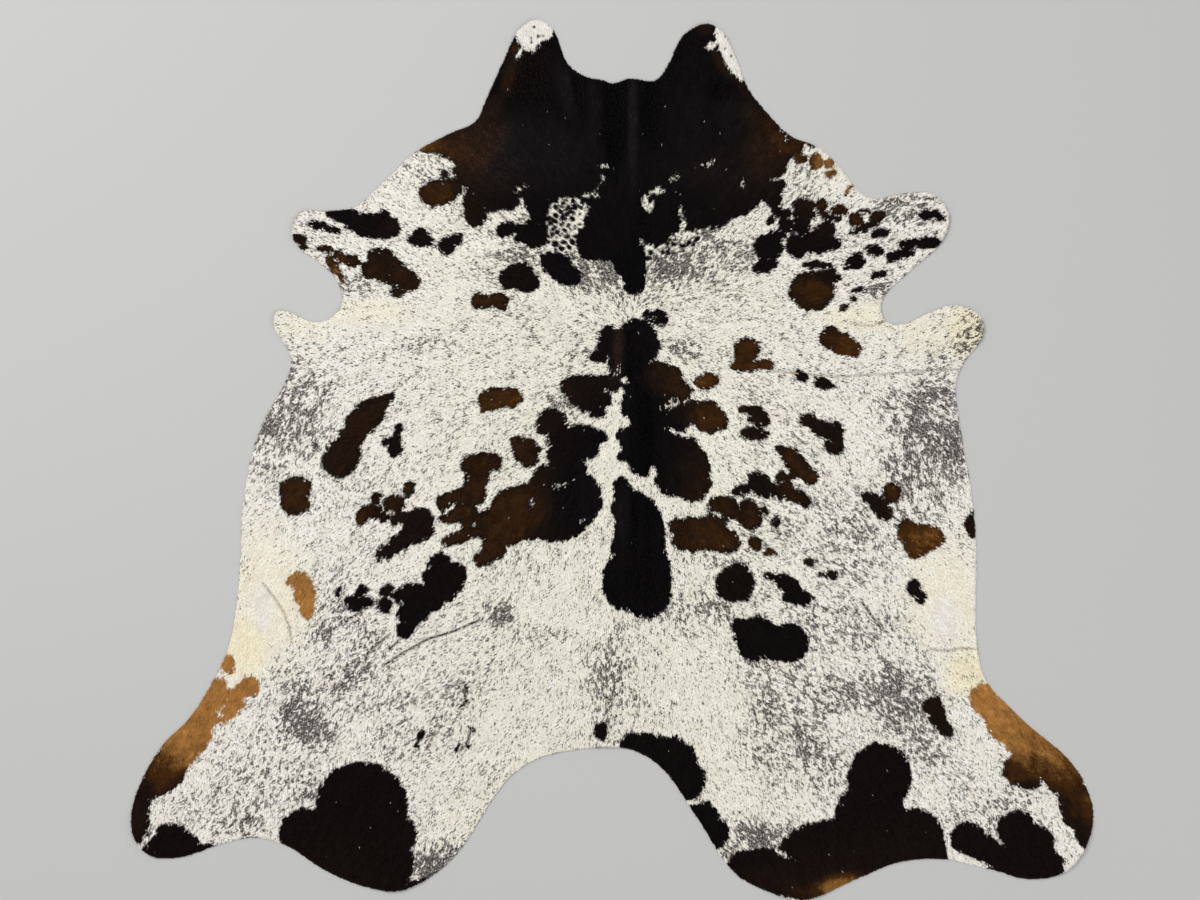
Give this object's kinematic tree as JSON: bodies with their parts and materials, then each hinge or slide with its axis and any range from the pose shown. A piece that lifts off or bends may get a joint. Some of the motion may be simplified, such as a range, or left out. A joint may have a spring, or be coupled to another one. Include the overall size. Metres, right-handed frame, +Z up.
{
  "type": "cowhide rug",
  "caption": "Whole hair-on cowhide rug lying flat: neck lobes, forelegs, elbow flaps and hind legs round a wide body, with a cream roan coat and black and brown patches.",
  "frame": {"origin": "on the floor under the middle of the rug's bounding box", "axes": "+X towards the right hind leg as the coat is seen from above with the neck up, +Y towards the neck, +Z up out of the coat"},
  "size_m": [2.3072, 2.1102, 0.0124],
  "materials": {
    "coat": "short glossy cow hair, cream-white with dark roan flecks and black and brown patches",
    "flesh_side": "matt buff suede"
  },
  "bodies": {
    "root": {"hide": "coat"}
  },
  "joints": []
}
